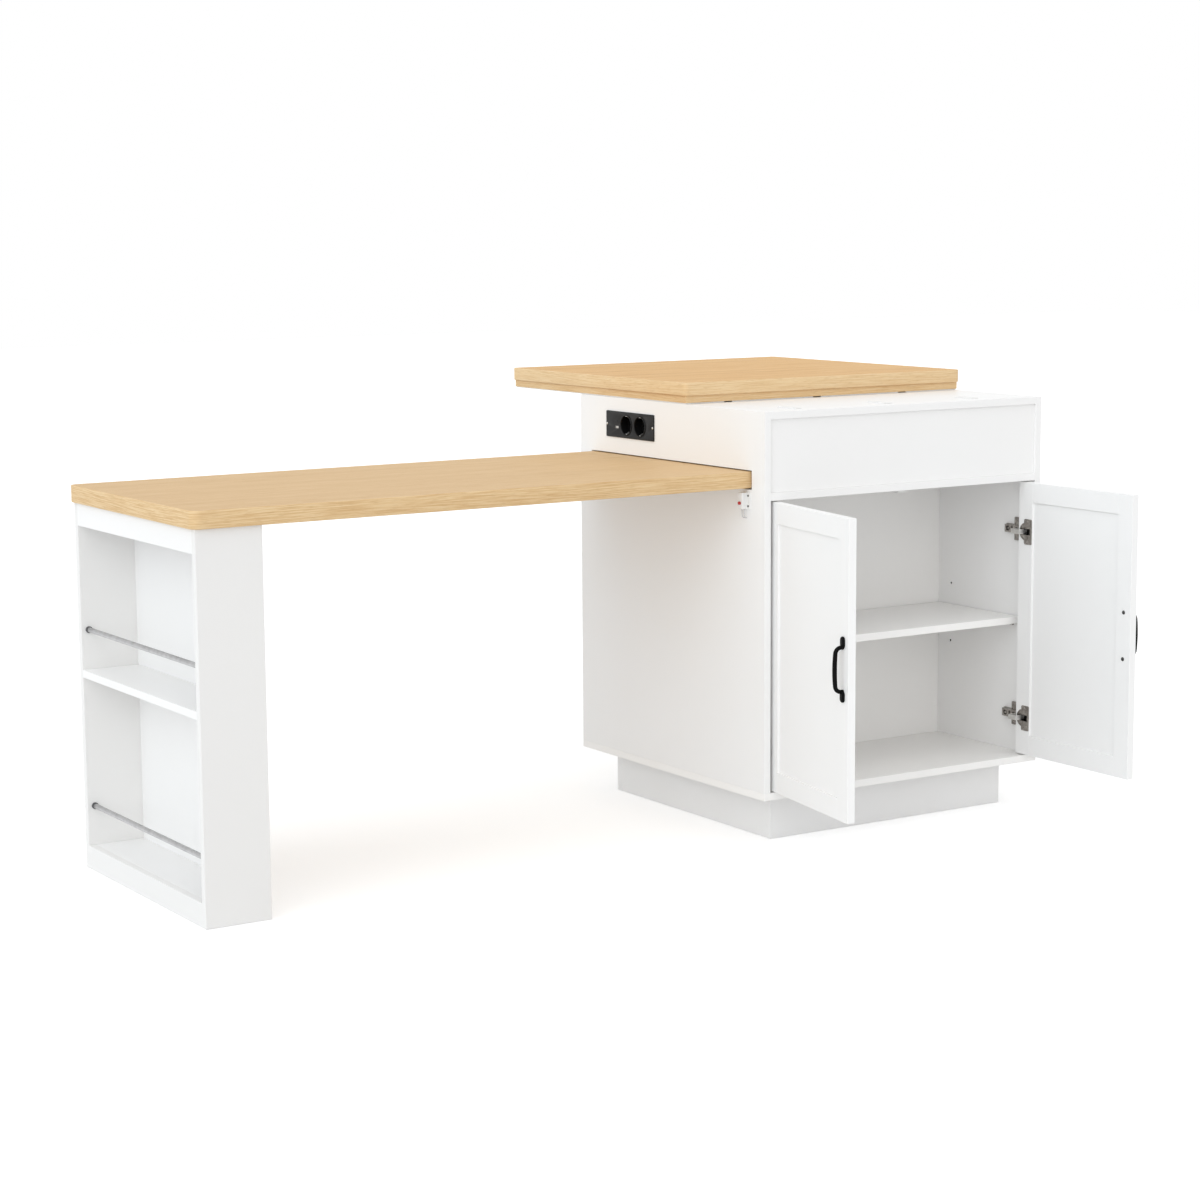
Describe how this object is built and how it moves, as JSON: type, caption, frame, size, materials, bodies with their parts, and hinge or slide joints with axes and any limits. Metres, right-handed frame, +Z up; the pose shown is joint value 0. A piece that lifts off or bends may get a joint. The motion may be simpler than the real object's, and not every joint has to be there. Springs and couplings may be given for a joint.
{
  "type": "extendable kitchen island",
  "caption": "White kitchen island cupboard with a worktop that slides back, a pull-out oak table on a shelved leg, hinged shaker doors and sockets in its side.",
  "frame": {"origin": "on the floor under the middle of the cabinet's plinth", "axes": "+X to the right along the front, +Y from the front to the back, +Z up"},
  "size_m": [1.925, 1.2795, 0.9203],
  "materials": {
    "white_board": "satin white melamine on board",
    "oak": "satin light oak",
    "nickel": "nickel plated",
    "steel": "brushed",
    "dark_steel": "black oxide",
    "aluminium": "mill finish",
    "brass": "bright",
    "black_metal": "matt black powder coat",
    "black_plastic": "fine matt moulding",
    "dark_plastic": "moulded",
    "white_plastic": "moulded nylon",
    "red_plastic": "gloss",
    "lead_sleeve": "soft sleeve"
  },
  "bodies": {
    "cabinet": {"bottom_panel": "white_board", "side_panel_left": "white_board", "side_panel_right": "white_board", "top_panel": "white_board", "divider_panel": "white_board", "back_panel": "white_board", "cupboard_back": "white_board", "fascia_panel": "white_board", "plinth_front": "white_board", "plinth_back": "white_board", "plinth_sides": "white_board", "plinth_cross_rail": "white_board", "shelf": "white_board", "shelf_pins": "nickel", "door_stop": "white_plastic", "hinge_plates": "nickel", "hinge_arms": "nickel", "hinge_screws": "nickel", "table_runners": "white_plastic", "table_guides": "aluminium", "worktop_rails": "aluminium", "glide_pads": "white_plastic", "socket_plate": "black_plastic", "socket_housing": "black_plastic", "socket_inserts": "black_plastic", "earth_clips": "brass", "usb_port": "nickel", "socket_screws": "nickel", "switch_body": "white_plastic", "switch_spring": "nickel", "switch_screws": "dark_steel", "switch_leads": "lead_sleeve"},
    "table": {"table_top": "oak", "table_stops": "white_plastic", "leg_sides": "white_board", "leg_back_panel": "white_board", "leg_apron": "white_board", "leg_kick_board": "white_board", "leg_bottom_shelf": "white_board", "leg_shelf": "white_board", "leg_top_board": "white_board", "leg_screws": "nickel", "guard_rods": "steel", "rod_cups": "dark_plastic"},
    "door_left": {"door_left_stiles": "white_board", "door_left_rails": "white_board", "door_left_panel": "white_board", "door_left_handle": "black_metal", "door_left_hinge_cups": "nickel", "door_left_screws": "dark_steel"},
    "door_right": {"door_right_stiles": "white_board", "door_right_rails": "white_board", "door_right_panel": "white_board", "door_right_handle": "black_metal", "door_right_hinge_cups": "nickel", "door_right_screws": "dark_steel"},
    "worktop": {"worktop_slab": "oak", "worktop_base": "oak", "worktop_sliders": "white_plastic"},
    "button": {"switch_button": "red_plastic"}
  },
  "joints": [
    {"name": "table_slide", "type": "slide", "parent": "cabinet", "child": "table", "axis": [1, 0, 0], "range_m": [0, 0.585]},
    {"name": "worktop_slide", "type": "slide", "parent": "cabinet", "child": "worktop", "axis": [0, -1, 0], "range_m": [0, 0.275]},
    {"name": "door_left_hinge", "type": "hinge", "parent": "cabinet", "child": "door_left", "pos_m": [-0.329, -0.332, 0.405], "axis": [0, 0, 1], "range_deg": [-5, 100]},
    {"name": "door_right_hinge", "type": "hinge", "parent": "cabinet", "child": "door_right", "pos_m": [0.329, -0.332, 0.405], "axis": [0, 0, -1], "range_deg": [-15, 90]},
    {"name": "button_press", "type": "slide", "parent": "cabinet", "child": "button", "axis": [1, 0, 0], "range_m": [0, 0.003], "stiffness_N_per_m": 300, "deforming": ["switch_spring"]}
  ]
}
